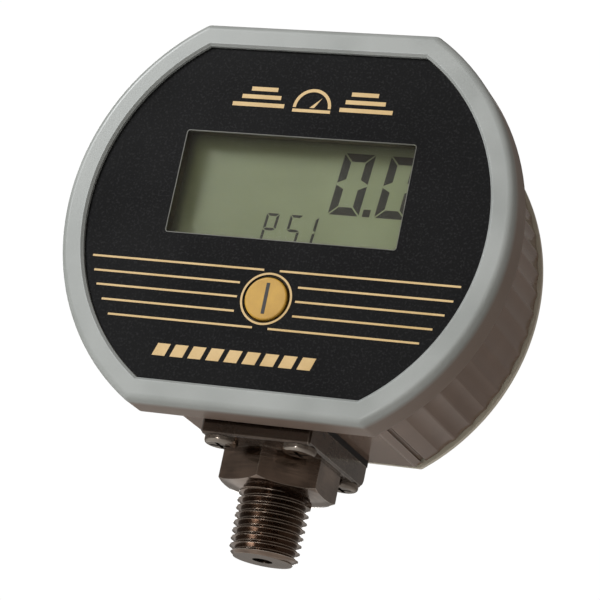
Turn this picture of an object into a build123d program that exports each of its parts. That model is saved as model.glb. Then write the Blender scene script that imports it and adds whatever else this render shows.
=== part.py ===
from build123d import *
import math
import os

# Digital pressure gauge with a bottom connection. Millimetres.
# Origin: mouth of the pressure port, at the tip of the pipe thread.
# +Z runs up the thread's axis, the face looks towards -Y, and +X is on the reader's right.

os.makedirs("parts", exist_ok=True)

# ---- Driving sizes of the whole gauge ---------------------------------------------------------
face_width = 85.9            # bezel, across the round sides
face_height = 73.2           # bezel, across the two flats
gauge_depth = 41.9           # front of the bezel to the back of the rear cover
face_centre_height = 57.6    # centre of the face above the tip of the thread
axis_setback = 24.0          # thread axis behind the front of the bezel

# ---- Clearances -------------------------------------------------------------------------------
fit_gap = 0.2                # between pieces that drop into one another
slide_gap = 0.3              # around the moving button cap
plunger_gap = 0.08           # around the switch plunger
screw_gap = 0.05             # screw shank to the hole it bites in
pass_gap = 0.2               # screw shank to a hole it only passes through
seat_gap = 0.1               # axial play between stacked pieces

# ---- Bezel and label --------------------------------------------------------------------------
bezel_rim = 4.4              # width of the rim seen from the front
bezel_proud = 1.0            # rim stands in front of the label
bezel_side = 7.4             # depth of the bezel's side wall
bezel_wall = 2.1
bezel_round = 1.3            # rounding of the outer front edge
bezel_lip_chamfer = 0.45
bezel_hook = 0.9             # snap lip behind the body's flange
corner_round = 1.6           # rounding where a round side meets a flat
label_thickness = 0.4
window_width = 44.8
window_height = 20.1
window_rise = 5.7            # centre of the window above the centre of the face
window_round = 0.6

# ---- Face plate and window --------------------------------------------------------------------
face_plate_thickness = 2.2
lens_thickness = 1.2
lens_overlap = 1.8           # lens edge beyond the window on each side
light_well_margin = 0.8      # opening behind the lens, wider than the window

# ---- Display stack ----------------------------------------------------------------------------
display_depth = 4.6          # display glass behind the label's front
display_thickness = 2.8
display_overlap = 3.0        # display glass beyond the window on each side
reflector_thickness = 0.4
display_frame_wall = 1.6
contact_strip_width = 2.0
contact_strip_inset = 0.5
board_depth = 10.0           # front of the circuit board behind the label's front
board_thickness = 1.6
board_margin = 2.0           # board edge to the body's inner wall
post_radius = 2.3
post_spread = 20.0           # posts of the face plate, left and right of the middle
lower_post_drop = 22.5
board_screw_shank = 1.0
board_screw_head = 1.9
board_screw_head_height = 1.3
board_screw_bite = 4.5
chip_round = 0.3
chip_layout = [              # x, z, width, height and rise of each part on the back of the board
    (-13, 21, 9, 9, 1.5),
    (3, 20, 6, 5, 1.4),
    (13, 19, 8, 3.4, 2.4),
    (-6, -21, 5, 3, 1.8),
    (8, -21, 5, 3, 1.8),
]

# ---- Button and switch ------------------------------------------------------------------------
button_clearance = 0.75      # display frame to the flange of the button
button_radius = 4.0
button_edge_round = 0.3
button_proud = 0.3
button_flange_radius = 5.4
button_flange_thickness = 0.8
button_stem_radius = 1.6
button_travel = 0.35
button_ring_gap = 0.4        # label edge around the cap
switch_size = 6.2
switch_height = 3.5
switch_plunger_radius = 1.7
switch_plunger_rise = 2.1
switch_roof = 0.6
switch_floor = 0.6
switch_cavity_radius = 2.6
switch_dome_radius = 2.4
switch_dome_height = 0.75
switch_dome_thickness = 0.15
plunger_flange_radius = 2.3
plunger_flange_thickness = 0.6

# ---- Body, rear cover and their joint ---------------------------------------------------------
body_side_step = 5.75        # body's side behind the edge of the bezel, at the round sides
body_flat_step = 3.2         # the same at the flats
body_arc_extra = 3.6         # radius of the side arcs beyond half the body's width
body_wall = 2.4
body_flange_thickness = 2.4
gasket_thickness = 1.0
rear_gasket_thickness = 0.4
rear_gasket_inset = 0.8      # gasket's edge inside the body's outline
cover_thickness = 2.3
cover_round = 1.5
cover_rib_depth = 1.6
cover_rib_thickness = 1.5
cover_lip = 0.5              # cover's edge beyond the side arcs of the body
cover_panel_width = 46.0     # shallow blank panel for a rating plate
cover_panel_height = 30.0
cover_panel_depth = 0.4
cover_panel_round = 2.0
cover_boss_radius = 3.4
cover_boss_gap = 0.75        # battery holder to the bosses
cover_boss_bite = 0.46       # how far the bosses stand into the body's wall
cover_boss_start = 14.0      # front end of the long bosses, behind the label's front
cover_screw_shank = 1.4
cover_screw_head = 2.7
cover_screw_head_height = 1.3
cover_screw_bite = 9.0
body_corner_round = 0.6      # rounding between a flat and a round side
groove_radius = 0.5          # narrow groove along each corner of the body
groove_sink = 0.3            # groove's middle inside the side arc
groove_rise = 1.3            # groove's middle, from the level of the flat
flute_pitch = 4.0            # shallow flutes along both sides of the body
flute_depth = 0.25
flute_start = 2.6            # plain wall between the bezel and the flutes
flute_margin = 4.0           # plain wall between the last flute and the flat, along the arc

# ---- Batteries --------------------------------------------------------------------------------
cell_radius = 7.25
cell_length = 49.2
cell_nub_radius = 2.75
cell_nub_length = 1.2
cell_gap = 0.7               # between the two cells
cell_depth = 28.0            # cell axes behind the label's front
contact_thickness = 0.4
contact_side = 9.0
contact_spring_length = 2.6
contact_spring_wire = 0.35
contact_spring_radius = 2.6
contact_spring_turns = 3
holder_wall = 1.4
holder_height = 11.0
holder_foot_radius = 2.0
holder_foot_inset = 4.0
holder_round = 4.0
holder_clearance = 0.85      # leads of the sensor to the holder

# ---- Sensor flange, fitting and sensor --------------------------------------------------------
flange_width = 21.2
flange_length = 30.6
flange_thickness = 4.3
flange_front_round = 0.5     # rounding of the flange's lower front edge
flange_rear_round = 2.0      # rounding of the flange's lower rear edge
flange_corner_chamfer = 0.4
flange_gasket_thickness = 1.2
flange_screw_side_margin = 3.0
flange_screw_end_margin = 3.3
flange_screw_shank = 1.75
flange_screw_head = 3.1
flange_screw_head_height = 1.25
flange_screw_bite = 7.0
pad_height = 5.4             # thickened floor of the body around the sensor
hex_across_flats = 19.05
hex_height = 5.9
hex_chamfer = 0.8
hex_cone_run = 1.9           # how far the chamfer's cone opens for each unit of height
neck_height = 0.9            # cone between the hexagon and the thread
thread_pitch = 25.4 / 18
thread_tip_radius = 6.38
thread_taper = 1 / 32        # radius gained per unit of height
thread_depth = 1.0
thread_crest = 0.06
thread_tip_chamfer = 0.9
thread_root_width = 0.1
thread_start_angle = 45      # where the groove starts, round the axis from +X
port_radius = 1.9
spigot_radius = 7.9
o_ring_section = 0.75
o_ring_groove_width = 2.0
nut_radius = 10.4
nut_height = 3.0
nut_notch_depth = 1.0
nut_notch_width = 2.2
sensor_radius = 7.0
sensor_height = 2.6
sensor_board_radius = 7.8
sensor_board_thickness = 1.0
lead_radius = 0.45
lead_pitch = 2.2
lead_slack = 1.8             # rise of the leads between the two boards
lead_bend = 1.0

# ---- Places that follow from the sizes above --------------------------------------------------
bezel_radius = face_width / 2
bezel_flat = face_height / 2
label_radius = bezel_radius - bezel_rim
label_flat = bezel_flat - bezel_rim
label_y = bezel_proud - axis_setback
plate_front = label_thickness
plate_back = plate_front + face_plate_thickness
flange_front = plate_back + gasket_thickness
flange_back = flange_front + body_flange_thickness
bezel_back = bezel_side - bezel_proud
cover_back = gauge_depth - bezel_proud
cover_front = cover_back - cover_thickness
body_back = cover_front - rear_gasket_thickness
body_half_width = bezel_radius - body_side_step
body_side_radius = body_half_width + body_arc_extra
body_flat = bezel_flat - body_flat_step
pocket_radius = bezel_radius - bezel_wall
pocket_flat = bezel_flat - bezel_wall
seat_radius = pocket_radius - fit_gap
seat_flat = pocket_flat - fit_gap
inner_flat = body_flat - body_wall
board_back = board_depth + board_thickness
display_back = display_depth + display_thickness
switch_front = board_depth - switch_height
plunger_front = switch_front - switch_plunger_rise
display_reach = window_height / 2 + display_overlap + fit_gap + display_frame_wall
button_drop = display_reach - window_rise + button_clearance + button_flange_radius
upper_post_rise = window_rise + display_reach + post_radius + seat_gap
post_places = [(post_spread, upper_post_rise), (post_spread, -lower_post_drop)]
cell_pitch = 2 * cell_radius + cell_gap
cell_span = cell_length + cell_nub_length + contact_spring_length + 2 * contact_thickness
holder_floor = cell_depth - cell_radius - seat_gap
holder_width = cell_span + 2 * holder_wall
holder_reach = cell_pitch / 2 + cell_radius + seat_gap + holder_wall
flange_screw_x = flange_width / 2 - flange_screw_side_margin
flange_screw_y = flange_length / 2 - flange_screw_end_margin
flange_top_z = face_centre_height - body_flat - flange_gasket_thickness
flange_bottom_z = flange_top_z - flange_thickness
hex_bottom_z = flange_bottom_z - hex_height
neck_bottom_z = hex_bottom_z - neck_height
body_floor_z = face_centre_height - body_flat
pad_top_z = body_floor_z + body_wall + pad_height
nut_top_z = pad_top_z + nut_height
sensor_bottom_z = nut_top_z + seat_gap
sensor_board_z = sensor_bottom_z + sensor_height
lead_start_z = sensor_board_z + sensor_board_thickness + lead_radius
lead_top_z = lead_start_z + lead_slack + lead_radius
cell_rise = lead_top_z - face_centre_height + holder_clearance + holder_reach
cell_centres = [cell_rise - cell_pitch / 2, cell_rise + cell_pitch / 2]
cover_screw_z = cell_rise + holder_reach + cover_boss_gap + cover_boss_radius
cover_boss_orbit = body_side_radius - body_wall + cover_boss_bite - cover_boss_radius
cover_screw_x = math.sqrt(cover_boss_orbit**2 - cover_screw_z**2) - body_arc_extra
cover_screw_places = [(cover_screw_x, cover_screw_z)]


# ---- Helpers ----------------------------------------------------------------------------------
def face_plane(depth):
    """Plane parallel to the face, this far behind the label's front, centred on the face."""
    return Plane(origin=(0, label_y + depth, face_centre_height), x_dir=(1, 0, 0), z_dir=(0, -1, 0))


def slab(outline, front, back):
    """An outline drawn on the face, filled from one depth to another."""
    return extrude(face_plane(front) * outline, front - back)


def face_outline(radius, flat, rounding=0):
    """A circle with a flat at the top and at the bottom."""
    outline = Circle(radius) & Rectangle(2 * radius, 2 * flat)
    if rounding > 0:
        outline = fillet(outline.vertices(), rounding)
    return outline


def body_outline(inset, rounding=0):
    """The body's outline drawn in by an inset: two side arcs cut by the two flats."""
    radius = body_side_radius - inset
    arcs = Pos(-body_arc_extra, 0) * Circle(radius) & Pos(body_arc_extra, 0) * Circle(radius)
    outline = arcs & Rectangle(4 * radius, 2 * (body_flat - inset))
    if rounding > 0:
        outline = fillet(outline.vertices(), rounding)
    return outline


def body_side_x(z):
    """Half the width of the body at a height from its middle."""
    return math.sqrt(body_side_radius**2 - z**2) - body_arc_extra


def flutes():
    """Shallow scallops along both side arcs, drawn as one flat shape to be cut away."""
    scallop_radius = ((flute_pitch / 2) ** 2 + flute_depth**2) / (2 * flute_depth)
    orbit = body_side_radius - flute_depth + scallop_radius
    step = math.degrees(flute_pitch / body_side_radius)
    half_arc = math.degrees(math.asin(body_flat / body_side_radius) - flute_margin / body_side_radius)
    turns = math.floor(half_arc / step)
    shape = Sketch()
    for turn in range(-turns, turns + 1):
        x = orbit * math.cos(math.radians(turn * step)) - body_arc_extra
        z = orbit * math.sin(math.radians(turn * step))
        shape += [Pos(x, z) * Circle(scallop_radius), Pos(-x, z) * Circle(scallop_radius)]
    return shape


def spot(x, z, shape):
    """A flat shape placed on the face at x, z from the face's centre."""
    return Pos(x, z) * shape


def mirrored(places):
    """Each place and its mirror image left to right."""
    return [(side * x, z) for x, z in places for side in (-1, 1)]


def four_corners(places):
    """Each place in all four quarters."""
    return [(side * x, rise * z) for x, z in places for side in (-1, 1) for rise in (-1, 1)]


def upright(x, y, bottom, radius, height):
    """A vertical cylinder standing on the height given."""
    return Pos(x, y, bottom + height / 2) * Cylinder(radius, height)


def window_shape(margin, rounding=0):
    """The display window's outline, wider by a margin on every side."""
    shape = RectangleRounded if rounding > 0 else Rectangle
    size = [window_width + 2 * margin, window_height + 2 * margin]
    return spot(0, window_rise, shape(*size, rounding) if rounding > 0 else shape(*size))


def cross_recess(head_radius, depth):
    """Cross-shaped driver recess, cut downwards from z = 0 along the screw's axis."""
    arm = 1.25 * head_radius
    blade = Pos(0, 0, -depth / 2) * Box(arm, head_radius * 0.24, depth)
    return blade + Rot(0, 0, 90) * blade


def pan_screw(shank_radius, head_radius, head_height, length):
    """Pan-head screw: the head's underside at z = 0, head above, shank below."""
    head = Pos(0, 0, head_height / 2) * Cylinder(head_radius, head_height)
    head = fillet(head.edges().group_by(Axis.Z)[-1], head_height * 0.6)
    recess = Pos(0, 0, head_height) * cross_recess(head_radius, head_height * 0.62)
    shank = Pos(0, 0, -length / 2) * Cylinder(shank_radius, length)
    shank = chamfer(shank.edges().group_by(Axis.Z)[0], shank_radius * 0.4)
    return (head - recess) + shank


def screws_in_face(places, seat_depth, shank, head, head_height, length):
    """Screws driven forwards from behind, their heads seated at one depth."""
    screw = pan_screw(shank, head, head_height, length)
    return [Pos(x, label_y + seat_depth, face_centre_height + z) * Rot(-90, 0, 0) * screw for x, z in places]


def save(node, *solids):
    """Write one node's solids to its own STEP file."""
    pieces = [piece for solid in solids for piece in solid.solids()]
    shape = pieces[0] if len(pieces) == 1 else Compound(children=pieces)
    shape.label = node
    export_step(shape, f"parts/{node}.step")


# ---- Front: bezel, label, window, face plate, gasket ------------------------------------------
def build_bezel():
    body = slab(face_outline(bezel_radius, bezel_flat, corner_round), -bezel_proud, bezel_back)
    front_edges = body.faces().sort_by(Axis.Y)[0].edges()
    body = fillet(front_edges, bezel_round)
    body -= slab(face_outline(label_radius, label_flat), -bezel_proud, bezel_back)
    opening_edges = body.faces().sort_by(Axis.Y)[0].inner_wires()[0].edges()
    body = chamfer(opening_edges, bezel_lip_chamfer)
    hook_radius = pocket_radius - bezel_hook
    hook_flat = pocket_flat - bezel_hook
    body -= slab(face_outline(pocket_radius, pocket_flat, corner_round), plate_front, flange_back)
    body -= slab(face_outline(hook_radius, hook_flat, corner_round), flange_back, bezel_back)
    return body


def build_face_label():
    label = slab(face_outline(label_radius - fit_gap / 2, label_flat - fit_gap / 2), 0, label_thickness)
    label -= slab(window_shape(0, window_round), 0, label_thickness)
    hole = spot(0, -button_drop, Circle(button_radius + button_ring_gap))
    return label - slab(hole, 0, label_thickness)


def build_display_window():
    return slab(window_shape(lens_overlap - fit_gap, window_round), plate_front, plate_front + lens_thickness)


def build_face_plate():
    plate = slab(face_outline(seat_radius, seat_flat, corner_round), plate_front, plate_back)
    plate -= slab(window_shape(lens_overlap, window_round), plate_front, plate_front + lens_thickness)
    plate -= slab(window_shape(light_well_margin, window_round), plate_front, plate_back)
    hole = spot(0, -button_drop, Circle(button_radius + slide_gap))
    plate -= slab(hole, plate_front, plate_back)
    for x, z in mirrored(post_places):
        plate += slab(spot(x, z, Circle(post_radius)), plate_back, board_depth)
        pilot = spot(x, z, Circle(board_screw_shank + screw_gap))
        plate -= slab(pilot, board_depth - board_screw_bite - screw_gap, board_depth)
    return plate


def build_face_gasket():
    ring = face_outline(seat_radius, seat_flat, corner_round)
    ring -= body_outline(body_wall)
    return slab(ring, plate_back, flange_front)


# ---- Display stack and circuit board ----------------------------------------------------------
def build_display_glass():
    return slab(window_shape(display_overlap), display_depth, display_back)


def build_display_reflector():
    strip_room = contact_strip_width + contact_strip_inset + fit_gap
    width = window_width + 2 * display_overlap - 2 * contact_strip_inset
    height = window_height + 2 * display_overlap - 2 * strip_room
    sheet = spot(0, window_rise, Rectangle(width, height))
    return slab(sheet, display_back, display_back + reflector_thickness)


def build_display_frame():
    pocket_margin = display_overlap + fit_gap
    frame = slab(window_shape(pocket_margin + display_frame_wall, window_round), plate_back, board_depth)
    frame -= slab(window_shape(light_well_margin), plate_back, display_depth)
    return frame - slab(window_shape(pocket_margin), display_depth, board_depth)


def build_contact_strips():
    width = window_width + 2 * display_overlap - 4 * contact_strip_inset
    reach = window_height / 2 + display_overlap - contact_strip_inset - contact_strip_width / 2
    strip = Rectangle(width, contact_strip_width)
    return [slab(spot(0, window_rise + end * reach, strip), display_back, board_depth) for end in (-1, 1)]


def build_circuit_board():
    outline = body_outline(body_wall + board_margin)
    outline -= Pos(0, -inner_flat) * Rectangle(flange_width + 2 * slide_gap, 2 * (pad_height + slide_gap))
    board = slab(outline, board_depth, board_back)
    for x, z in mirrored(post_places):
        board -= slab(spot(x, z, Circle(board_screw_shank + pass_gap)), board_depth, board_back)
    return board


def build_board_chips():
    """Controller, amplifier, crystal and two capacitors on the back of the board."""
    return [slab(spot(x, z, RectangleRounded(width, height, chip_round)), board_back, board_back + rise)
            for x, z, width, height, rise in chip_layout]


def build_board_screws():
    return screws_in_face(mirrored(post_places), board_back, board_screw_shank, board_screw_head,
                          board_screw_head_height, board_screw_bite + board_thickness)


# ---- Button and switch ------------------------------------------------------------------------
def build_button_cap():
    flange_at = plate_back + seat_gap
    centre = (0, -button_drop)
    cap = slab(spot(*centre, Circle(button_radius)), -button_proud, flange_at)
    cap = fillet(cap.faces().sort_by(Axis.Y)[0].edges(), button_edge_round)
    cap += slab(spot(*centre, Circle(button_flange_radius)), flange_at, flange_at + button_flange_thickness)
    return cap + slab(spot(*centre, Circle(button_stem_radius)), flange_at, plunger_front)


def build_switch_body():
    centre = (0, -button_drop)
    body = slab(spot(*centre, RectangleRounded(switch_size, switch_size, 0.5)), switch_front, board_depth)
    bore = spot(*centre, Circle(switch_plunger_radius + plunger_gap))
    cavity = spot(*centre, Circle(switch_cavity_radius))
    body -= slab(bore, switch_front, switch_front + switch_roof)
    return body - slab(cavity, switch_front + switch_roof, board_depth - switch_floor)


def build_switch_plunger():
    centre = (0, -button_drop)
    flange_at = switch_front + switch_roof + seat_gap / 2
    plunger = slab(spot(*centre, Circle(switch_plunger_radius)), plunger_front, flange_at)
    return plunger + slab(spot(*centre, Circle(plunger_flange_radius)), flange_at,
                          flange_at + plunger_flange_thickness)


def build_switch_dome():
    """Shallow snap dome that pushes the plunger back."""
    def cap_of_sphere(radius, height):
        ball = (radius**2 + height**2) / (2 * height)
        lens = Sphere(ball) & Pos(0, 0, ball - height / 2) * Box(3 * radius, 3 * radius, height)
        return Pos(0, 0, -(ball - height)) * lens
    skin = switch_dome_thickness
    outer = cap_of_sphere(switch_dome_radius, switch_dome_height)
    inner = cap_of_sphere(switch_dome_radius - skin, switch_dome_height - skin)
    floor = label_y + board_depth - switch_floor
    return Pos(0, floor, face_centre_height - button_drop) * Rot(90, 0, 0) * (outer - inner)


# ---- Body, rear gasket, rear cover ------------------------------------------------------------
def flange_screw_centres():
    return [(x, y) for x in (-flange_screw_x, flange_screw_x) for y in (-flange_screw_y, flange_screw_y)]


def build_body_shell():
    shell = slab(body_outline(0, body_corner_round), flange_front, body_back)
    shell += slab(face_outline(seat_radius, seat_flat, corner_round), flange_front, flange_back)
    shell -= slab(body_outline(body_wall), flange_front, body_back)
    groove_z = body_flat - groove_rise
    for x, z in four_corners([(body_side_x(groove_z) - groove_sink, groove_z)]):
        shell -= slab(spot(x, z, Circle(groove_radius)), flange_back, body_back)
    shell -= slab(flutes(), bezel_back + flute_start, body_back)
    for x, z in four_corners(cover_screw_places):
        shell += slab(spot(x, z, Circle(cover_boss_radius)), cover_boss_start, body_back)
        pilot = spot(x, z, Circle(cover_screw_shank + screw_gap))
        shell -= slab(pilot, body_back - cover_screw_bite - screw_gap, body_back)
    shell = shell & slab(face_outline(seat_radius, seat_flat), flange_front, body_back)
    pad_front = axis_setback - bezel_proud - flange_length / 2
    pad_z = -inner_flat + pad_height / 2
    shell += slab(spot(0, pad_z, Rectangle(flange_width, pad_height)), pad_front, body_back)
    bore_top = pad_height + 2 * body_wall
    shell -= upright(0, 0, body_floor_z - body_wall, spigot_radius + fit_gap, bore_top)
    pilot_depth = flange_screw_bite - flange_gasket_thickness + pass_gap
    for x, y in flange_screw_centres():
        shell -= upright(x, y, body_floor_z, flange_screw_shank + screw_gap, pilot_depth)
    return shell


def build_rear_gasket():
    gasket = slab(body_outline(rear_gasket_inset) - body_outline(body_wall), body_back, cover_front)
    for x, z in four_corners(cover_screw_places):
        gasket -= slab(spot(x, z, Circle(cover_boss_radius + fit_gap)), body_back, cover_front)
    return gasket.solids().sort_by(SortBy.VOLUME)[-1]


def build_rear_cover():
    edge = body_outline(-cover_lip) & Rectangle(2 * body_half_width + 4 * cover_lip, 2 * body_flat)
    edge = fillet(edge.vertices(), body_corner_round)
    cover = slab(edge, cover_front, cover_back)
    cover = fillet(cover.faces().sort_by(Axis.Y)[-1].edges(), cover_round)
    rib = body_outline(body_wall + fit_gap) - body_outline(body_wall + fit_gap + cover_rib_thickness)
    rib -= Pos(0, -inner_flat) * Rectangle(flange_width + 4 * fit_gap, 4 * cover_rib_thickness)
    for x, z in four_corners(cover_screw_places):
        rib -= spot(x, z, Circle(cover_boss_radius + fit_gap))
    cover += slab(rib, body_back - cover_rib_depth, cover_front)
    panel = RectangleRounded(cover_panel_width, cover_panel_height, cover_panel_round)
    cover -= slab(panel, cover_back - cover_panel_depth, cover_back)
    sink = cover_back - cover_screw_head_height
    for x, z in four_corners(cover_screw_places):
        cover += slab(spot(x, z, Circle(cover_boss_radius)), body_back, cover_front)
        cover -= slab(spot(x, z, Circle(cover_screw_shank + pass_gap)), body_back, cover_back)
        cover -= slab(spot(x, z, Circle(cover_screw_head + pass_gap)), sink, cover_back)
    return cover.solids().sort_by(SortBy.VOLUME)[-1]


def build_rear_cover_screws():
    seat = cover_back - cover_screw_head_height
    length = seat - body_back + cover_screw_bite
    return screws_in_face(four_corners(cover_screw_places), seat, cover_screw_shank, cover_screw_head,
                          cover_screw_head_height, length)


# ---- Batteries --------------------------------------------------------------------------------
def cell_axis(z):
    """Plane at the left end of a cell row, its normal along +X."""
    return Plane(origin=(-cell_span / 2, label_y + cell_depth, face_centre_height + z), x_dir=(0, 1, 0),
                 z_dir=(1, 0, 0))


def build_battery_cell(index):
    """One cell: its flat end touches the spring, its nub touches the plate."""
    start = contact_thickness + contact_spring_length
    cell = Pos(0, 0, start + cell_length / 2) * Cylinder(cell_radius, cell_length)
    cell = fillet(cell.edges(), 0.6)
    nub = Pos(0, 0, start + cell_length + cell_nub_length / 2) * Cylinder(cell_nub_radius, cell_nub_length)
    cell += nub
    if index == 1:
        cell = Pos(0, 0, cell_span) * Rot(180, 0, 0) * cell
    return cell_axis(cell_centres[index]) * cell


def build_contact_plates():
    """Sheet contact at both ends of each cell row."""
    plate = Pos(0, 0, contact_thickness / 2) * Box(contact_side, contact_side, contact_thickness)
    far = cell_span - contact_thickness
    return [cell_axis(z) * Pos(0, 0, end) * plate for z in cell_centres for end in (0, far)]


def build_contact_springs():
    """Coil spring at the flat end of each cell."""
    wire_room = contact_spring_length - 2 * contact_spring_wire
    helix = Helix(pitch=wire_room / contact_spring_turns, height=wire_room, radius=contact_spring_radius)
    section = Plane(origin=helix @ 0, z_dir=helix % 0) * Circle(contact_spring_wire)
    spring = Pos(0, 0, contact_thickness + contact_spring_wire) * sweep(section, path=helix, is_frenet=True)
    turned = Pos(0, 0, cell_span) * Rot(180, 0, 0) * spring
    return [cell_axis(cell_centres[0]) * spring, cell_axis(cell_centres[1]) * turned]


def build_battery_holder():
    front = holder_floor - holder_wall
    outline = RectangleRounded(holder_width, 2 * holder_reach, holder_round)
    tray = slab(spot(0, cell_rise, outline), front, front + holder_height)
    room = Rectangle(cell_span, 2 * (holder_reach - holder_wall))
    tray -= slab(spot(0, cell_rise, room), holder_floor, front + holder_height)
    foot = (holder_width / 2 - holder_foot_inset, holder_reach - holder_foot_inset)
    for x, z in four_corners([foot]):
        tray += slab(spot(x, cell_rise + z, Circle(holder_foot_radius)), board_back, front)
    return tray


# ---- Sensor flange, fitting, sensor -----------------------------------------------------------
def flange_outline():
    return Rectangle(flange_width, flange_length)


def build_flange_gasket():
    gasket = Pos(0, 0, flange_top_z) * extrude(flange_outline(), flange_gasket_thickness)
    gasket -= upright(0, 0, flange_top_z, spigot_radius + fit_gap, flange_gasket_thickness)
    for x, y in flange_screw_centres():
        gasket -= upright(x, y, flange_top_z, flange_screw_shank + pass_gap, flange_gasket_thickness)
    return gasket


def build_sensor_flange():
    block = Pos(0, 0, flange_bottom_z) * extrude(flange_outline(), flange_thickness)
    ends = block.faces().sort_by(Axis.Z)[0].edges().filter_by(Axis.X).sort_by(Axis.Y)
    block = fillet(ends[0], flange_front_round)
    ends = block.faces().sort_by(Axis.Z)[0].edges().filter_by(Axis.X).sort_by(Axis.Y)
    block = fillet(ends[-1], flange_rear_round)
    block = chamfer(block.edges().filter_by(Axis.Z), flange_corner_chamfer)
    block -= upright(0, 0, flange_bottom_z, spigot_radius + fit_gap, flange_thickness)
    for x, y in flange_screw_centres():
        block -= upright(x, y, flange_bottom_z, flange_screw_shank + pass_gap, flange_thickness)
    return block


def build_flange_screws():
    length = flange_thickness + flange_screw_bite
    screw = pan_screw(flange_screw_shank, flange_screw_head, flange_screw_head_height, length)
    return [Pos(x, y, flange_bottom_z) * Rot(180, 0, 0) * screw for x, y in flange_screw_centres()]


def taper_thread_body():
    """Tapered blank with one V-groove cut along a conical helix."""
    top = neck_bottom_z + neck_height
    blank = Solid.make_cone(thread_tip_radius, thread_tip_radius + top * thread_taper, top)
    tip_cut = Solid.make_cone(thread_tip_radius - thread_tip_chamfer,
                              thread_tip_radius + thread_tip_chamfer, 2 * thread_tip_chamfer)
    above_tip = upright(0, 0, thread_tip_chamfer, 2 * thread_tip_radius, top)
    blank = (Part() + blank) & (Part() + tip_cut + above_tip)
    start = -0.75 * thread_pitch
    start_radius = thread_tip_radius + start * thread_taper
    taper_angle = math.degrees(math.atan(thread_taper))
    helix = Edge.make_helix(thread_pitch, neck_bottom_z + 0.5 * thread_pitch, start_radius, (0, 0, start),
                            (0, 0, 1), taper_angle)
    root = thread_root_width / 2
    crest = (thread_pitch - thread_crest) / 2
    corners = [(start_radius - thread_depth, -root), (start_radius - thread_depth, root),
               (start_radius + thread_crest, crest), (start_radius + thread_crest, -crest)]
    section = Face(Wire.make_polygon([(r, 0, start + z) for r, z in corners], close=True))
    return blank - Rot(0, 0, thread_start_angle) * sweep(section, path=helix, is_frenet=True)


def build_pressure_fitting():
    """Hexagon, neck and taper thread below the flange, spigot above it, one bore through all."""
    hexagon = RegularPolygon(hex_across_flats / 2, 6, major_radius=False, rotation=30)
    block = Pos(0, 0, hex_bottom_z) * extrude(hexagon, hex_height)
    corner = hex_across_flats / math.sqrt(3)
    wide = corner - hex_chamfer + hex_cone_run * hex_height
    lower_cone = Pos(0, 0, hex_bottom_z) * Solid.make_cone(corner - hex_chamfer, wide, hex_height)
    block = block & (Part() + lower_cone)
    neck_radius = thread_tip_radius + neck_bottom_z * thread_taper
    neck = Part() + Pos(0, 0, neck_bottom_z) * Solid.make_cone(neck_radius, corner - hex_chamfer, neck_height)
    neck = neck & (Pos(0, 0, neck_bottom_z) * extrude(hexagon, neck_height))
    fitting = taper_thread_body() + neck + block
    fitting += upright(0, 0, flange_bottom_z, spigot_radius, nut_top_z - flange_bottom_z)
    groove_z = flange_bottom_z + (flange_thickness - o_ring_groove_width) / 2
    groove = upright(0, 0, groove_z, spigot_radius + 1, o_ring_groove_width)
    groove -= upright(0, 0, groove_z, spigot_radius - 2 * o_ring_section + fit_gap / 2, o_ring_groove_width)
    fitting -= groove
    return fitting - upright(0, 0, 0, port_radius, nut_top_z)


def build_o_ring():
    middle = spigot_radius - o_ring_section + fit_gap / 2
    return Pos(0, 0, flange_bottom_z + flange_thickness / 2) * Torus(middle, o_ring_section - fit_gap / 8)


def build_retaining_nut():
    nut = upright(0, 0, pad_top_z, nut_radius, nut_height)
    nut -= upright(0, 0, pad_top_z, spigot_radius + screw_gap, nut_height)
    for angle in range(0, 360, 60):
        notch = Pos(nut_radius, 0, nut_top_z) * Box(2 * nut_notch_depth, nut_notch_width, nut_height)
        nut -= Rot(0, 0, angle) * notch
    return nut


def build_sensor_cell():
    cell = upright(0, 0, nut_top_z, sensor_radius, sensor_height + seat_gap)
    return cell - upright(0, 0, nut_top_z, port_radius, sensor_height / 2)


def build_sensor_board():
    return upright(0, 0, sensor_board_z, sensor_board_radius, sensor_board_thickness)


def build_sensor_leads():
    """Three short leads from the sensor board forwards to the circuit board."""
    back = -sensor_board_radius / 2
    front = label_y + board_back
    step_y = (front - sensor_board_radius) / 2
    high = lead_start_z + lead_slack
    leads = []
    for step in (-1, 0, 1):
        x = step * lead_pitch
        route = [(x, back, lead_start_z), (x, step_y + lead_slack, lead_start_z), (x, step_y, high),
                 (x, front, high)]
        path = FilletPolyline(*route, radius=lead_bend)
        section = Plane(origin=path @ 0, z_dir=path % 0) * Circle(lead_radius)
        leads.append(sweep(section, path=path))
    return leads


save("bezel", build_bezel())
save("face_label", build_face_label())
save("display_window", build_display_window())
save("face_plate", build_face_plate())
save("face_gasket", build_face_gasket())
save("display_glass", build_display_glass())
save("display_reflector", build_display_reflector())
save("display_frame", build_display_frame())
save("contact_strips", *build_contact_strips())
save("circuit_board", build_circuit_board())
save("board_chips", *build_board_chips())
save("board_screws", *build_board_screws())
save("button_cap", build_button_cap())
save("switch_body", build_switch_body())
save("switch_plunger", build_switch_plunger())
save("switch_dome", build_switch_dome())
save("body_shell", build_body_shell())
save("rear_gasket", build_rear_gasket())
save("rear_cover", build_rear_cover())
save("rear_cover_screws", *build_rear_cover_screws())
save("battery_holder", build_battery_holder())
save("battery_cell_lower", build_battery_cell(0))
save("battery_cell_upper", build_battery_cell(1))
save("battery_contact_plates", *build_contact_plates())
save("battery_contact_springs", *build_contact_springs())
save("sensor_gasket", build_flange_gasket())
save("sensor_flange", build_sensor_flange())
save("sensor_flange_screws", *build_flange_screws())
save("pressure_fitting", build_pressure_fitting())
save("fitting_o_ring", build_o_ring())
save("retaining_nut", build_retaining_nut())
save("sensor_cell", build_sensor_cell())
save("sensor_board", build_sensor_board())
save("sensor_leads", *build_sensor_leads())
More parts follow.
